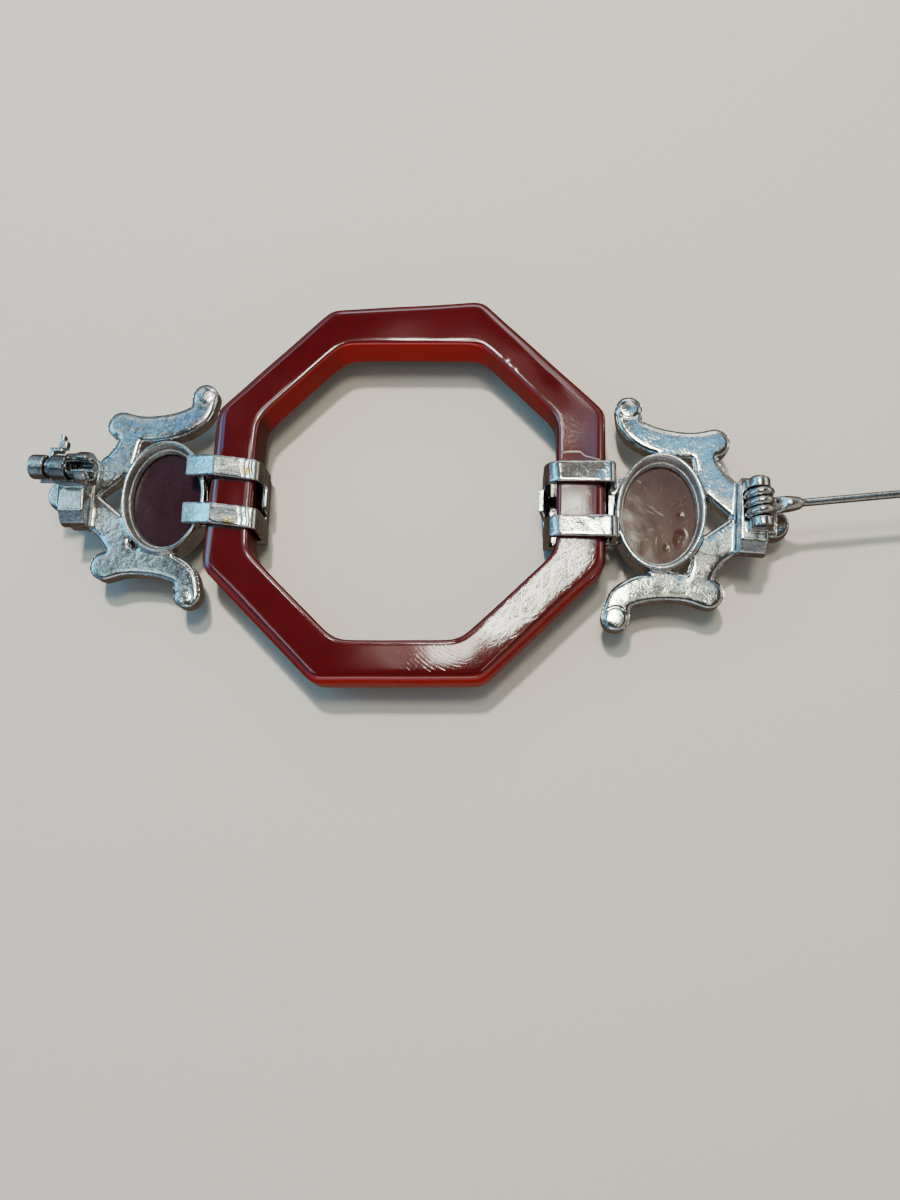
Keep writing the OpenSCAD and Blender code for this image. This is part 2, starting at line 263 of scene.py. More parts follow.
def make_lights():
    for name, (toward, distance, size, colour, power) in FACING_CARDS.items():
        light = add_area_light(name, size, colour, power)
        direction = Vector(toward).normalized()
        light.location = LIT_PLACE + direction * distance
        light.rotation_mode = "QUATERNION"
        light.rotation_quaternion = direction.to_track_quat("Z", "Y")
        light.visible_glossy = name != "key"  # the key's highlights come from the dimmer key_glint card
    for name, (x_low, x_high, y_low, y_high, colour, brightness) in CEILING_CARDS.items():
        width, depth = (x_high - x_low) * CEILING_Z, (y_high - y_low) * CEILING_Z
        card = add_area_light(name, (width, depth), colour, CARD_POWER * brightness * width * depth)
        card.location = LIT_PLACE + Vector(((x_low + x_high) / 2, (y_low + y_high) / 2, 1)) * CEILING_Z


# Half the width of the floor in metres, and how it looks.
FLOOR_REACH = 4.0
FLOOR_COLOUR = (0.58, 0.53, 0.47, 1)
FLOOR_ROUGHNESS = 0.7


def make_floor():
    mesh = bpy.data.meshes.new("floor")
    corners = [(x * FLOOR_REACH, y * FLOOR_REACH, 0) for x, y in ((-1, -1), (1, -1), (1, 1), (-1, 1))]
    mesh.from_pydata(corners, [], [(0, 1, 2, 3)])
    floor = add_object("floor", mesh)
    paint = Paint("pale_floor")
    paint.put("Base Color", FLOOR_COLOUR)
    paint.put("Roughness", FLOOR_ROUGHNESS)
    mesh.materials.append(paint.material)
    floor.visible_glossy = False  # the metal mirrors the darker ground of the room below it


# Materials


# A thin line fades out between its half width and this many times its half width.
LINE_FADE = 1.6
# How the edges of the veins wander: swings per mm and how far.
VEIN_WANDER = (1.2, 0.4)
# How many times longer than wide a scratch's noise is, its detail and roughness, and how wide its edge fades.
SCRATCH_STRETCH = 14.0
SCRATCH_NOISE = (2.0, 0.6)
SCRATCH_FADE = 0.12
# The heights of a noise where clouds made from it begin and where they are full.
CLOUD_FADE = (0.35, 0.65)


class Paint(Wiring):
    """One material. Texture scales are counts per mm."""

    def __init__(self, name):
        self.material = bpy.data.materials.new(name)
        self.material.use_nodes = True
        super().__init__(self.material.node_tree)
        self.shader = self.tree.nodes["Principled BSDF"]
        self.place = self.node("TexCoord").outputs["Object"]

    def put(self, name, value):
        self.set(self.shader.inputs[name], value)

    def math(self, operation, a, b=0.0):
        return self.node("Math", {0: a, 1: b}, operation=operation).outputs[0]

    def times(self, a, b):
        return self.math("MULTIPLY", a, b)

    def most(self, a, b):
        return self.math("MAXIMUM", a, b)

    def vector(self, operation, *inputs, output="Vector"):
        return self.node("VectorMath", enumerate(inputs), operation=operation).outputs[output]

    def stretched(self, turn, stretch):
        """Coordinates turned about Z and drawn out along one direction, for scratches."""
        inputs = {"Vector": self.place, "Rotation": (0.2, 0.1, math.radians(turn)),
                  "Scale": (1.0, 1 / stretch, 1 / stretch)}
        return self.node("Mapping", inputs, vector_type="TEXTURE").outputs["Vector"]

    def noise(self, per_mm, detail, rough, place=None):
        return self.node("TexNoise", {"Vector": place or self.place, "Scale": per_mm / MM, "Detail": detail,
                                      "Roughness": rough}).outputs["Fac"]

    def patches(self, per_mm, detail, rough, low, high):
        """1 where a noise is above high and 0 where it is below low."""
        return self.range(self.noise(per_mm, detail, rough), low, high)

    def scratches(self, per_mm, turns, low):
        """Fine scratches in several directions: 1 where a noise is well above low, and 0 where it is below."""
        total = None
        for turn in turns:
            lines = self.noise(per_mm, *SCRATCH_NOISE, self.stretched(turn, SCRATCH_STRETCH))
            lines = self.range(lines, low, low + SCRATCH_FADE)
            total = lines if total is None else self.most(total, lines)
        return total

    def veins(self, per_mm, half_width):
        """1 on the thin edges between small cells, and 0 inside them. half_width is a share of a cell."""
        per_swing, reach = VEIN_WANDER
        drift = self.node("TexNoise", {"Vector": self.place, "Scale": per_swing / MM, "Detail": 2.0}).outputs["Color"]
        place = self.vector("ADD", self.place, self.vector("MULTIPLY", drift, (reach * MM,) * 3))
        cells = self.node("TexVoronoi", {"Vector": place, "Scale": per_mm / MM}, feature="DISTANCE_TO_EDGE")
        return self.range(cells.outputs["Distance"], LINE_FADE * half_width, half_width)

    def distance(self, x, y, z):
        """Distance from a place, in metres."""
        return self.vector("DISTANCE", self.place, tuple(in_row_frame((x, y, z))), output="Value")

    def near(self, x, y, z, radius, soft):
        """1 within radius mm of a place, falling to 0 over soft mm."""
        return self.range(self.distance(x, y, z), (radius + soft) * MM, radius * MM)

    def arcs(self, x, y, z, spacing):
        """Thin rings around a place, 1 on a line and 0 between, as a comb would scratch them."""
        wave = self.math("SINE", self.times(self.distance(x, y, z), 2 * math.pi / (spacing * MM)))
        return self.range(wave, 0.55, 1.0)

    def inside_oval(self, x, y, turn, half_x, half_y):
        """1 inside an oval seen from above, and 0 outside."""
        centre = in_row_frame((x, y, 0))
        inputs = {"Vector": self.place, "Location": (centre[0], centre[1], 0.0),
                  "Rotation": (0.0, 0.0, math.radians(turn)), "Scale": (half_x * MM, half_y * MM, 1.0)}
        own = self.node("Mapping", inputs, vector_type="TEXTURE").outputs["Vector"]
        far = self.vector("LENGTH", self.vector("MULTIPLY", own, (1.0, 1.0, 0.0)), output="Value")
        return self.range(far, 1.01, 0.98)

    def wavy_line(self, y, swing, per_mm, half_width):
        """1 on a thin line that wanders along X at y, and 0 away from it."""
        here = self.node("SeparateXYZ", {"Vector": self.place}).outputs
        wander = self.range(self.noise(per_mm, 1.0, 0.4), *CLOUD_FADE, -swing * MM, swing * MM)
        level = self.math("ADD", wander, in_row_frame((0, y, 0))[1])
        away = self.math("ABSOLUTE", self.math("SUBTRACT", here["Y"], level))
        return self.range(away, LINE_FADE * half_width * MM, half_width * MM)

    def recess(self, reach):
        """1 in the open, towards 0 in corners and hollows that are within reach mm."""
        return self.node("AmbientOcclusion", {"Distance": reach * MM}, samples=8).outputs["AO"]

    def relief(self, *layers):
        """Bumps on bumps: the height of each layer and its depth in mm, which is below 0 for a groove."""
        normal = None
        for height, depth in layers:
            inputs = {"Height": height, "Distance": depth * MM, "Strength": 1.0}
            if normal is not None:
                inputs["Normal"] = normal
            normal = self.node("Bump", inputs).outputs["Normal"]
        self.put("Normal", normal)


# Silver: its colours, then how strongly specks, scratches and the painted dark reflection cover them.
SILVER_LIGHT = (0.86, 0.85, 0.82, 1)
SILVER_CLOUDED = (0.56, 0.56, 0.54, 1)
SILVER_SPECKED = (0.24, 0.23, 0.21, 1)
SILVER_CRAZED = (0.16, 0.15, 0.14, 1)
SILVER_SCRATCHED = (0.95, 0.94, 0.90, 1)
# A bluish dark painted around the catch: a painted dark reflection.
SILVER_PAINTED_REFLECTION = (0.13, 0.14, 0.16, 1)
BRASSY_SOLDER = (0.62, 0.47, 0.17, 1)
TARNISH = (0.045, 0.036, 0.030, 1)
SPECK_SHARE = 0.66
SCRATCH_SHARE = 0.35
PAINTED_REFLECTION_SHARE = 0.62
# Its noises: counts per mm, detail, roughness, then where a patch begins and where it is full.
SILVER_CLOUDS = (0.45, 3.0, 0.55)
SILVER_GRAIN = (2.6, 4.0, 0.62)
SILVER_HAMMERING = (0.55, 3.0, 0.5)
SILVER_FROST = (0.9, 5.0, 0.72, 0.50, 0.66)
SILVER_SPECKS = (4.2, 4.0, 0.70, 0.48, 0.64)
SILVER_CRAZING = (0.30, 2.0, 0.5, 0.44, 0.56)
# Its veins, as cells per mm and half width, and its scratches, as counts per mm, directions and where they begin.
SILVER_VEINS = (1.5, 0.07)
SILVER_SCRATCHES = (0.35, (12, 67, 118, 155), 0.60)
# How far tarnish looks for other metal, and how open a place is where it is all tarnish and where it is none.
TARNISH_REACH = 1.0
TARNISH_FADE = (0.15, 0.60)
# How much the grain adds to the roughness, the roughness inside a collar, and how free of tarnish that is.
GRAIN_ROUGHNESS = 0.04
BORE_ROUGHNESS = 0.45
BORE_OPEN = 0.75
# How far the edges of the solder spots, frosted places and the painted dark reflection fade.
SOLDER_SPOT = (0.25, 0.7)
SOFT_FADE = 0.8
PAINTED_REFLECTION_FADE = 1.2
# How deep the relief goes.
HAMMERING_DEPTH = 0.035
GRAIN_DEPTH = 0.009
VEIN_DEPTH = 0.008
SCRATCH_DEPTH = 0.002


def silver(name, light=SILVER_LIGHT, dark=TARNISH, shine=0.12, frosted=0.06, solder=(), soft=None, bore=None,
           painted_dark_reflection=None, crazed=0.0):
    """Worn silver: finely hammered and scratched, with tarnish left in its corners.

    shine is the roughness of its polish, and frosted is what frosted patches add to it. solder lists brassy spots.
    soft is the place and radius of a frosted part. The argument after bore is the place and radius of a darker part,
    a painted dark reflection.
    inside_oval takes it. crazed is the strength of the fine veins.
    """
    paint = Paint(name)
    clouds = paint.noise(*SILVER_CLOUDS)
    grain = paint.noise(*SILVER_GRAIN)
    frost = paint.patches(*SILVER_FROST)
    specks = paint.patches(*SILVER_SPECKS)
    scratches = paint.scratches(*SILVER_SCRATCHES)
    veins = paint.times(paint.veins(*SILVER_VEINS), paint.patches(*SILVER_CRAZING))
    open_share = paint.range(paint.recess(TARNISH_REACH), *TARNISH_FADE)

    metal = paint.mix(paint.range(clouds, *CLOUD_FADE), SILVER_CLOUDED, light)
    metal = paint.mix(paint.times(specks, SPECK_SHARE), metal, SILVER_SPECKED)
    metal = paint.mix(paint.times(veins, crazed), metal, SILVER_CRAZED)
    metal = paint.mix(paint.times(scratches, SCRATCH_SHARE), metal, SILVER_SCRATCHED)
    for place in solder:
        metal = paint.mix(paint.near(*place, *SOLDER_SPOT), metal, BRASSY_SOLDER)
    # Darkens the metal around a place to a bluish dark: a painted dark reflection.
    if painted_dark_reflection:
        metal = paint.mix(paint.times(paint.near(*painted_dark_reflection, PAINTED_REFLECTION_FADE), PAINTED_REFLECTION_SHARE), metal, SILVER_PAINTED_REFLECTION)
    if soft:
        frost = paint.most(frost, paint.near(*soft, SOFT_FADE))
    rough = paint.range(grain, *CLOUD_FADE, shine, shine + GRAIN_ROUGHNESS)
    rough = paint.math("ADD", rough, paint.times(frost, frosted))
    if bore:
        inside = paint.inside_oval(*bore)
        rough = paint.most(rough, paint.times(inside, BORE_ROUGHNESS))
        open_share = paint.most(open_share, paint.times(inside, BORE_OPEN))

    paint.put("Base Color", paint.mix(open_share, dark, metal))
    paint.put("Metallic", 1.0)
    paint.put("Roughness", rough)
    paint.relief((paint.noise(*SILVER_HAMMERING), HAMMERING_DEPTH), (grain, GRAIN_DEPTH),
                 (veins, -VEIN_DEPTH * crazed), (scratches, -SCRATCH_DEPTH))
    return paint.material


# Red resin: its colours, from deep to clear and the painted light on walls that face south, and the colour and cover
# of the old glue.
RESIN_DEEP = (0.052, 0.0005, 0.0008, 1)
RESIN_CLEAR = (0.084, 0.0010, 0.0013, 1)
RESIN_PAINTED_LIGHT = (0.42, 0.0020, 0.0040, 1)
OLD_GLUE = (0.62, 0.50, 0.42, 1)
GLUE_SHARE = 0.8
# Walls that face south are painted brighter red, painted light as if light shone through them: Y of the surface's
# direction where the painted light begins and where it is full.
PAINTED_LIGHT_FACING = (-0.35, -0.95)
# Worn places on its back: x, y, z, radius, and how far they fade.
RUBBED = (21.8, 8.6, RING_BACK_Z, 1.5, 4.5)
SWEPT = (18.5, -14.0, RING_BACK_Z, 3.0, 9.0)
COMBED = (4.5, -23.6, RING_BACK_Z, 0.8, 3.6)
GLUED = (22.6, 3.5, RING_BACK_Z, 2.2, 0.4)
# The comb's strokes run around a place: x, y, z, and how far they lie apart.
COMB_STROKES = (9.0, -16.0, RING_BACK_Z, 0.47)
# The line of old glue: y, how far it swings, its swings per mm, half its width.
GLUE_LINE = (3.6, 0.55, 0.42, 0.09)
# Its noises: counts per mm, detail, roughness, then where a patch begins and where it is full.
RESIN_CLOUDS = (0.10, 3.0, 0.5)
RESIN_WAVES = (0.16, 2.0, 0.4)
RESIN_SPECKLE = (2.2, 4.0, 0.7)
COMB_GAPS = (1.1, 3.0, 0.6, 0.42, 0.70)
# Its scratches: counts per mm, directions, and the height of the noise where they begin.
RESIN_SCRATCHES = (0.20, (20, 75, 130), 0.64)
SWEPT_STROKES = (0.15, (58, 30, 84), 0.47)
# Its roughness from the deep to the clear clouds, and what the rubbed and the swept place add to it.
RESIN_ROUGHNESS = (0.08, 0.11)
RUBBED_ROUGHNESS = 0.04
SWEPT_ROUGHNESS = 0.07
# How far the relief goes down, or up for the waves, the speckle and the glue.
RESIN_WAVE_HEIGHT = 0.035
SPECKLE_HEIGHT = 0.020
GLUE_HEIGHT = 0.12
COMB_DEPTH = 0.009
STROKE_DEPTH = 0.012
RESIN_SCRATCH_DEPTH = 0.0012


def red_resin():
    """Deep red resin with a soft polish, rubbed and finely scratched in places."""
    paint = Paint("red_resin")
    clouds = paint.noise(*RESIN_CLOUDS)
    facing = paint.node("SeparateXYZ", {"Vector": paint.node("NewGeometry").outputs["Normal"]}).outputs["Y"]
    glue = paint.times(paint.wavy_line(*GLUE_LINE), paint.near(*GLUED))
    rubbed, swept = paint.near(*RUBBED), paint.near(*SWEPT)
    speckle = paint.times(paint.noise(*RESIN_SPECKLE), rubbed)
    strokes = paint.times(paint.scratches(*SWEPT_STROKES), swept)
    combed = paint.times(paint.near(*COMBED), paint.arcs(*COMB_STROKES))
    combed = paint.times(combed, paint.patches(*COMB_GAPS))

    body = paint.mix(clouds, RESIN_DEEP, RESIN_CLEAR)
    # Painted light: walls that face south are painted bright red, as if light shone through the resin.
    body = paint.mix(paint.range(facing, *PAINTED_LIGHT_FACING), body, RESIN_PAINTED_LIGHT)
    paint.put("Base Color", paint.mix(paint.times(glue, GLUE_SHARE), body, OLD_GLUE))
    paint.put("Subsurface Weight", 0.35)
    paint.put("Subsurface Radius", (0.0030, 0.00012, 0.0001))
    paint.put("Subsurface Scale", 1.0)
    paint.put("IOR", 1.60)
    paint.put("Specular IOR Level", 0.9)
    worn = paint.most(paint.times(rubbed, RUBBED_ROUGHNESS), paint.times(swept, SWEPT_ROUGHNESS))
    paint.put("Roughness", paint.math("ADD", paint.range(clouds, *CLOUD_FADE, *RESIN_ROUGHNESS), worn))
    paint.relief((paint.noise(*RESIN_WAVES), RESIN_WAVE_HEIGHT), (speckle, SPECKLE_HEIGHT), (combed, -COMB_DEPTH),
                 (strokes, -STROKE_DEPTH), (glue, GLUE_HEIGHT),
                 (paint.scratches(*RESIN_SCRATCHES), -RESIN_SCRATCH_DEPTH))
    return paint.material


# Stone: the colour of its dust, its noises and scratches as for the resin, and how deep the relief goes.
STONE_DUST = (0.30, 0.23, 0.20, 1)
STONE_CLOUDS = (0.22, 4.0, 0.6)
STONE_PITTING = (0.8, 3.0, 0.6)
STONE_SPECKS = (2.4, 3.0, 0.7, 0.64, 0.76)
STONE_SCRATCHES = (0.24, (35, 80, 150), 0.66)
PITTING_DEPTH = 0.010
STONE_SCRATCH_DEPTH = 0.004
# What the clouds add to the roughness.
STONE_CLOUD_ROUGHNESS = 0.06


def brown_stone(name, low, high, dust, rough):
    """Translucent stone with a sawn, slightly matt back, scratched, with dust in its specks and scratches."""
    paint = Paint(name)
    clouds = paint.noise(*STONE_CLOUDS)
    specks = paint.patches(*STONE_SPECKS)
    scratches = paint.scratches(*STONE_SCRATCHES)
    marks = paint.times(paint.most(specks, scratches), dust)
    paint.put("Base Color", paint.mix(marks, paint.mix(clouds, low, high), STONE_DUST))
    paint.put("Specular IOR Level", 0.3)
    paint.put("Subsurface Weight", 0.2)
    paint.put("Subsurface Radius", (0.0012, 0.0003, 0.0003))
    paint.put("Subsurface Scale", 1.0)
    paint.put("Roughness", paint.range(clouds, 0.3, 0.7, rough, rough + STONE_CLOUD_ROUGHNESS))
    paint.relief((paint.noise(*STONE_PITTING), PITTING_DEPTH), (scratches, -STONE_SCRATCH_DEPTH))
    return paint.material


# Meshes


def grid_faces(rows, columns, close_rows=False):
    """Quads between rows of points. Each row closes on itself, and the last row joins the first if asked."""
    faces = []
    for row in range(rows if close_rows else rows - 1):
        here, there = row * columns, (row + 1) % rows * columns
        for k in range(columns):
            after = (k + 1) % columns
            faces.append((here + k, here + after, there + after, there + k))
    return faces


def dress(piece, material, body, node):
    piece.data.materials.clear()
    piece.data.materials.append(material)
    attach(piece, body)
    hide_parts(node)


def add_piece(name, points, faces):
    mesh = bpy.data.meshes.new(name)
    mesh.from_pydata(in_row_frame(points).tolist(), [], faces)
    mesh.shade_smooth()
    return add_object(name, mesh)


def cast(name, node, voxel, passes, shape=None):
    """A node's form as cast metal: its edges rounded off, and its parts flowing into one another."""
    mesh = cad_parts[node].data.copy()
    mesh.transform(Matrix.Scale(1 / MM, 4))
    piece = add_object(name, mesh)
    remesh = piece.modifiers.new("remesh", "REMESH")
    remesh.mode = "VOXEL"
    remesh.voxel_size = voxel
    soften = piece.modifiers.new("soften", "SMOOTH")
    soften.factor = 0.5
    soften.iterations = passes
    depsgraph = bpy.context.evaluated_depsgraph_get()
    piece.data = bpy.data.meshes.new_from_object(piece.evaluated_get(depsgraph))
    piece.modifiers.clear()
    count = len(piece.data.vertices)
    points = np.empty(count * 3, np.float32)
    piece.data.vertices.foreach_get("co", points)
    points = points.reshape(-1, 3).astype(float) - RING_CENTRE
    if shape is not None:
        points = shape(points)
    piece.data.vertices.foreach_set("co", in_row_frame(points).astype(np.float32).ravel())
    piece.data.shade_smooth()
    piece.data.update()
    return piece


def dimple(points, size, depth):
    """A slow unevenness of that size and depth, one number for each point."""
    return np.array([noise.noise(Vector(p) / size) for p in points]) * depth


# The ring


def octagon(angles, half, tilt, surplus, sharpness):
    """Distance to an octagon with rounded corners, for each angle. tilt and surplus are columns of RING_SIDES."""
    total = np.zeros_like(angles)
    for side in RING_SIDES:
        toward = np.cos(angles - math.radians(side[0] + side[tilt]))
        total += np.where(toward > 0, toward / (half + side[surplus]), 0) ** sharpness
    return total ** (-1 / sharpness)


def ring_section(arc_steps=7, flat_steps=9, wall_steps=5):
    """Section of the ring's bar: share of the way out, offset outward, height."""
    corners = [(1, RING_FRONT_Z, -90, RING_ROUND), (1, RING_BACK_Z, 0, RING_ROUND),
               (0, RING_BACK_Z, 90, RING_LIP), (0, RING_FRONT_Z, 180, RING_ROUND)]

    def on_corner(k, step):
        share, z, start, radius = corners[k % 4]
        a = math.radians(start + 90 * step / arc_steps)
        inward = radius if share == 0 else -radius
        level = z + radius if z == RING_FRONT_Z else z - radius
        return np.array([share, inward + radius * math.cos(a), level + radius * math.sin(a)])

    section = []
    for k in range(4):  # up the outside, over the back, down the inside, under the front
        section += [on_corner(k, step) for step in range(arc_steps + 1)]
        steps = wall_steps if k % 2 == 0 else flat_steps
        first, last = section[-1], on_corner(k + 1, 0)
        section += [first + (last - first) * step / steps for step in range(1, steps)]
    return np.array(section)


def make_ring(steps=900):
    angles = np.linspace(0, 2 * math.pi, steps, endpoint=False)
    outer = octagon(angles, RING_HALF, *OUTLINE)
    inner = octagon(angles, RING_HALF - RING_BAR, *OPENING)
    section = ring_section()
    share, offset, z = section[:, 0], section[:, 1], section[:, 2]
    reach = inner[:, None] * (1 - share) + outer[:, None] * share + offset

    across = np.clip((reach - inner[:, None]) / (outer - inner)[:, None], 0, 1)
    crown = RING_CROWN * (0.5 + 0.5 * np.cos(angles))[:, None]
    z = z - crown * across ** 3 * (z > RING_BACK_Z - RING_ROUND)
    around = np.stack([np.cos(angles), np.sin(angles), np.zeros(steps)], -1)
    points = np.stack([reach * around[:, :1], reach * around[:, 1:2], z], -1).reshape(-1, 3)

    middle_z = (RING_FRONT_Z + RING_BACK_Z) / 2
    middle = around * ((inner + outer) / 2)[:, None] + (0, 0, middle_z)
    out = points - middle.repeat(len(section), 0)
    out /= np.linalg.norm(out, axis=1)[:, None]
    wave_size, wave_depth = RING_WAVES
    points = points + out * (dimple(points, wave_size, wave_depth) - wave_depth / 2)[:, None]
    for x, y, radius, depth in RING_CHIPS:
        far = np.hypot(points[:, 0] - x, points[:, 1] - y) / radius
        points[:, 2] -= np.where(points[:, 2] > middle_z, depth * np.exp(-far * far * 2), 0)
    piece = add_piece("red_ring", points, grid_faces(steps, len(section), True))
    dress(piece, red_resin(), "brooch", "ring")


# The silver ends


# How the ends and the sleeve are cast: the size of the remesh, and how often it is smoothed. A finer remesh of an
# end would pass 200,000 triangles.
END_CAST = (0.143, 4)
SLEEVE_CAST = (0.08, 3)
# What silver() is told of the sleeve: its polish, and a bluish dark painted over it as a painted dark reflection.
SLEEVE_PAINT = {"shine": 0.08, "painted_dark_reflection": (-41.9, 1.0, 10.6, 3.0)}
# The slow unevenness of the ends: size and depth.
END_DIMPLES = (1.5, 0.022)

# How the edges of the scrolls' and bars' backs are rounded: how far in it reaches and how far it drops.
EASINGS = [(1.3, 0.07), (0.65, 0.22)]
# The backs are looked for this near their height, and the tops of their walls this far below it.
BACK_BAND = 0.16
WALL_BAND = (0.7, 0.3)
# The crinkles' size, and how far from an edge they are full.
CRINKLE_SIZE = 0.55
CRINKLE_RAMP = 1.0


def ease_edges(points, crinkle):
    """Rounds the backs of the scrolls and bars down towards their edges, and crinkles their middle."""
    height = points[:, 2]
    wall = np.nonzero((height > SCROLL_Z - WALL_BAND[0]) & (height < SCROLL_Z - WALL_BAND[1]))[0]
    flat = np.nonzero(np.abs(height - SCROLL_Z) < BACK_BAND)[0]
    tree = kdtree.KDTree(len(wall))
    for i in wall:
        tree.insert((points[i, 0], points[i, 1], 0), int(i))
    tree.balance()
    points = points.copy()
    for i in flat:
        near = tree.find((points[i, 0], points[i, 1], 0))[2]
        points[i, 2] -= sum(drop * max(1 - near / reach, 0) ** 2 for reach, drop in EASINGS)
        points[i, 2] -= crinkle * min(near, CRINKLE_RAMP) * abs(noise.noise(Vector(points[i]) / CRINKLE_SIZE))
    return points


def on_backs(points, low, high, over):
    """1 for the scrolls' backs, fading out from high to low mm below them, and 0 from over mm above them."""
    z = points[:, 2]
    return smooth_step(SCROLL_Z - low, SCROLL_Z - high, z) * (z < SCROLL_Z + over)


# The round knobs at the ends of the scrolls' hooks: x, y, radius, how far the knob domes up.
KNOBS = [
    (-27.8, 13.6, 1.25, 0.10),
    (-28.2, -14.7, 1.10, 0.10),
    (29.0, 11.1, 1.30, 0.07),
    (26.6, -17.1, 1.20, 0.03),
]
# Which heights the knobs take in, as for on_backs.
KNOB_HEIGHTS = (1.2, 0.2, 0.6)
# How much a knob swells sideways, and the crease around it: depth, then place and width in radii.
KNOB_SWELL = 0.14
CREASE_DEPTH = 0.06
CREASE_AT = 1.15
CREASE_WIDTH = 0.14


def swell_knobs(points):
    """Rounds the end of each hook up to a small dome with a crease behind it."""
    points = points.copy()
    for x, y, radius, dome in KNOBS:
        aside = points[:, :2] - (x, y)
        far = np.hypot(aside[:, 0], aside[:, 1]) / radius
        points[:, :2] += aside * (KNOB_SWELL * np.exp(-far ** 4))[:, None]
        rise = dome * np.clip(1 - far ** 2, 0, 1)
        crease = CREASE_DEPTH * np.exp(-((far - CREASE_AT) / CREASE_WIDTH) ** 2)
        points[:, 2] += on_backs(points, *KNOB_HEIGHTS) * (rise - crease)
    return points


# The south scroll at the hinge leans down outward: how steeply, from which x, over what length, between which
# distances south of the middle the lean sets in, and which heights it takes in.
SOUTH_LEAN = 0.022
SOUTH_LEAN_X = 28.2
SOUTH_LEAN_L = 7
SOUTH_LEAN_FADE = (8.6, 11.4)
SOUTH_LEAN_HEIGHTS = (0.9, 0.3, 0.4)


def lean_south_scroll(points):
    points = points.copy()
    share = smooth_step(*SOUTH_LEAN_FADE, -points[:, 1]) * on_backs(points, *SOUTH_LEAN_HEIGHTS)
    points[:, 2] -= share * SOUTH_LEAN * np.clip(points[:, 0] - SOUTH_LEAN_X, 0, SOUTH_LEAN_L)
    return points


# How the straps' flat backs lie over the ring: x, y and half width of a strap, slope along X, slope along Y.
STRAP_TILTS = [
    (22.2, 1.3, 2.0, 0.0, -0.055),
    (22.2, -5.9, 2.0, 0.0, -0.02),
    (-22.0, 2.2, 2.0, -0.055, 0.0),
    (-22.0, -4.2, 2.0, -0.055, 0.0),
]
# Where the tilt fades: heights, distances along X, and how far beyond the strap's sides.
STRAP_HEIGHTS = (6.9, 7.5)
STRAP_LENGTHS = (2.4, 3.4)
STRAP_SIDE = 0.3


def tilt_straps(points):
    """Leans the flat back of each strap a little, as they were bent by hand."""
    points = points.copy()
    for x, y, half, along, across in STRAP_TILTS:
        share = smooth_step(*STRAP_HEIGHTS, points[:, 2]) \
            * (1 - smooth_step(*STRAP_LENGTHS, np.abs(points[:, 0] - x))) \
            * (1 - smooth_step(half, half + STRAP_SIDE, np.abs(points[:, 1] - y)))
        points[:, 2] += share * (along * (points[:, 0] - x) + across * (points[:, 1] - y))
    return points


# The folds in the catch end's straps: between which distances from the ring's middle, how deep, how far apart, how
# far their ends fade, and above which height.
FOLDS_FROM = 19.2
FOLDS_TO = 21.2
FOLD_DEPTH = 0.07
FOLD_SPACING = 0.62
FOLD_FADE = 0.5
FOLDS_Z = 6.4


def fold_straps(points):
    """Fine folds across the catch end's straps where they bend over the ring's inner edge."""
    outward = -points[:, 0]
    share = smooth_step(FOLDS_FROM, FOLDS_FROM + FOLD_FADE, outward) \
        * (1 - smooth_step(FOLDS_TO - FOLD_FADE, FOLDS_TO, outward))
    waves = np.sin(outward * 2 * math.pi / FOLD_SPACING + np.sin(points[:, 1] * 2.1) * 1.3)
    points = points.copy()
    points[:, 2] -= FOLD_DEPTH * share * (0.5 + 0.5 * waves) * (points[:, 2] > FOLDS_Z)
    return points


def make_end(node):
    end = ENDS[node]

    def shape(points):
        points = tilt_straps(lean_south_scroll(swell_knobs(ease_edges(points, end["crinkle"]))))
        if node == "catch_end":
            points = fold_straps(points)
        points[:, 2] += dimple(points, *END_DIMPLES)
        return points

    piece = cast(node + "_silver", node, *END_CAST, shape)
    bore = (*end["centre"], end["turn"], *BORE_HALF)
    dress(piece, silver(node + "_silver", bore=bore, **end["paint"]), "brooch", node)


def make_sleeve():
    piece = cast("sleeve_silver", "catch_sleeve", *SLEEVE_CAST)
    dress(piece, silver("sleeve_silver", **SLEEVE_PAINT), "sleeve", "catch_sleeve")


# The stones


# Each stone's paint, which is two body colours, share of dust and roughness, and the chips and bubbles in its back,
# as x, y, radius and depth.
STONES = {
    "stone_catch_end": {
        "paint": ((0.016, 0.005, 0.008, 1), (0.030, 0.010, 0.015, 1), 0.06, 0.12),
        "chips": [],
    },
    "stone_hinge_end": {
        "paint": ((0.044, 0.018, 0.013, 1), (0.074, 0.034, 0.025, 1), 0.22, 0.11),
        "chips": [
            (35.1, -6.1, 0.55, 0.35),
            (34.8, -7.0, 0.45, 0.25),
            (33.25, -7.7, 0.22, 0.22),
            (33.85, -7.35, 0.16, 0.15),
            (35.2, -3.4, 0.25, 0.15),
        ],
    },
}
# The unevenness of a stone's back: size and depth.
STONE_DIMPLES = (1.6, 0.012)


def stone_profile():
    """Half length and height of the oval, from the middle of the back around the belt to the middle of the front."""
    half = STONE_L / 2
    profile = [(half * t, STONE_BACK_Z) for t in np.linspace(0.02, 0.96, 22)]
    profile += [(half - 0.10, STONE_BACK_Z - 0.04), (half - 0.02, STONE_BACK_Z - 0.14), (half, STONE_BACK_Z - 0.4),
                (half, STONE_BELT_Z + 0.2), (half - 0.03, STONE_BELT_Z)]
    height = STONE_BELT_Z - STONE_TOP_Z
    radius = (half * half + height * height) / (2 * height)
    profile += [(half * t, STONE_TOP_Z + radius - math.sqrt(radius ** 2 - (half * t) ** 2))
                for t in np.linspace(0.96, 0.02, 16)]
    return profile


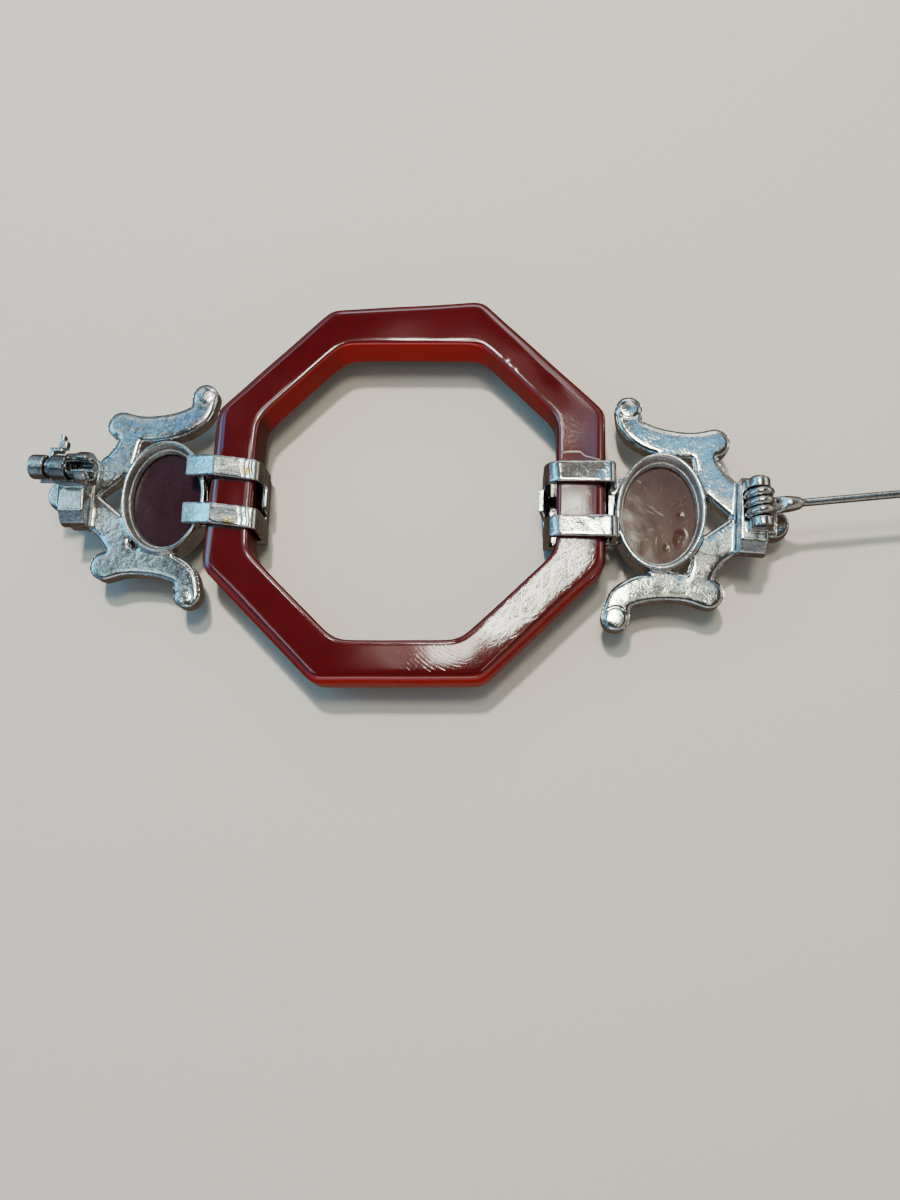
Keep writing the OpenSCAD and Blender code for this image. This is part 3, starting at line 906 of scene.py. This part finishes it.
def make_stone(node, end, around=96):
    """An oval cabochon seen from its flat back, with a rounded belt."""
    profile = stone_profile()
    angles = np.linspace(0, 2 * math.pi, around, endpoint=False)
    points = []
    for r, z in profile:
        x, y = turned(r * np.cos(angles) * STONE_W / STONE_L, r * np.sin(angles), end["turn"])
        points.append(np.stack([end["centre"][0] + x, end["centre"][1] + y, np.full(around, z)], -1))
    points = np.concatenate(points)
    back = points[:, 2] > STONE_BACK_Z - 0.1
    points[back, 2] += dimple(points[back], *STONE_DIMPLES) - STONE_DIMPLES[1]
    for x, y, size, depth in STONES[node]["chips"]:
        far = np.hypot(points[:, 0] - x, points[:, 1] - y) / size
        points[:, 2] -= np.where(back, depth * np.exp(-far * far * 1.6), 0)
    faces = [tuple(reversed(face)) for face in grid_faces(len(profile), around)]
    faces.append(tuple(range(around)))
    faces.append(tuple(reversed(range(len(points) - around, len(points)))))
    piece = add_piece(node + "_oval", points, faces)
    dress(piece, brown_stone(node + "_stone", *STONES[node]["paint"]), "brooch", node)


# The pin


# The wire's root: distance along it and its radius there, from the coil over the shoulder to the straight wire.
WIRE_ROOT = [
    (0.0, 0.02), (0.02, 0.3), (0.06, WIRE_R), (1.60, WIRE_R), (1.70, 0.72), (1.80, SHOULDER_R - 0.06),
    (2.0, SHOULDER_R), (3.4, SHOULDER_R), (4.3, SHOULDER_R - 0.10), (5.0, 0.80), (5.25, 0.70), (5.4, WIRE_R + 0.04),
    (5.5, WIRE_R),
]
# The point: its length, and how much thinner than the wire it gets.
POINT_L = 7
POINT_TAPER = 0.38
# The facet that is cut into the shoulder: where along the wire, the height that it begins at, and how steeply it
# rises.
FACET_FROM = 1.7
FACET_TO = 3.4
FACET_LOW = -0.05
FACET_RISE = 0.62
# The metal of the pin: its colour, its tarnish and the roughness of its polish.
PIN_METAL = ((0.74, 0.73, 0.71, 1), (0.06, 0.05, 0.05, 1), 0.14)


def in_hinge(points):
    """Points in the hinge's frame, Y along its axis, as points in mm from the ring's centre."""
    x, y, z = np.asarray(points, float).T
    x, y = turned(x, y, HINGE_TURN)
    return np.stack([HINGE[0] + x, HINGE[1] + y, HINGE[2] + z], -1)


def coil_turns(slant=0.14, pitch=1.16, steps=72, around=20):
    """Three turns of the coil, each sloping across like a turn of a helix."""
    points, faces = [], []
    for centre in (-pitch, 0, pitch):
        first = len(points)
        for a in np.linspace(0, 2 * math.pi, steps, endpoint=False):
            for b in np.linspace(0, 2 * math.pi, around, endpoint=False):
                r = COIL_R + COIL_WIRE_R * math.cos(b)
                points.append((r * math.cos(a), centre + slant * math.cos(a) + COIL_WIRE_R * math.sin(b),
                               r * math.sin(a)))
        faces += [tuple(first + v for v in face) for face in grid_faces(steps, around, True)]
    return points, faces


def wire_profile():
    """Distance along the wire and its radius there, from the coil to the point."""
    rows = WIRE_ROOT + [(s, SHOULDER_R) for s in np.linspace(2.05, 3.3, 16)]  # the facet takes closer rows
    rows += [(s, WIRE_R) for s in np.linspace(6, PIN_L - POINT_L - 0.4, 60)]
    rows += [(PIN_L - POINT_L + t, WIRE_R - POINT_TAPER * (t / POINT_L) ** 1.15)
             for t in np.linspace(0, POINT_L - 0.15, 18)]
    rows += [(PIN_L - 0.06, 0.09), (PIN_L - 0.01, 0.03)]
    return sorted(rows)


def make_wire(around=28):
    """The pin's wire: shoulder with a cut facet, straight wire and point."""
    points = []
    rows = wire_profile()
    for s, r in rows:
        for a in np.linspace(0, 2 * math.pi, around, endpoint=False):
            side, up = r * math.cos(a), r * math.sin(a)
            if FACET_FROM < s < FACET_TO:
                up = min(up, FACET_LOW + FACET_RISE * (s - FACET_FROM))
            points.append((*turned(s, side, PIN_LEAN), up - COIL_R))
    faces = grid_faces(len(rows), around)
    faces.append(tuple(reversed(range(around))))
    faces.append(tuple(range(len(points) - around, len(points))))
    return points, faces


def make_pin():
    points, faces = coil_turns()
    wire_points, wire_faces = make_wire()
    faces += [tuple(len(points) + v for v in face) for face in wire_faces]
    piece = add_piece("pin_wire", in_hinge(points + wire_points), faces)
    dress(piece, silver("pin_metal", *PIN_METAL), "pin_arm", "pin")


make_camera()
make_lights()
make_room()
make_floor()
make_ring()
for end_node in ENDS:
    make_end(end_node)
    make_stone("stone_" + end_node, ENDS[end_node])
make_sleeve()
make_pin()
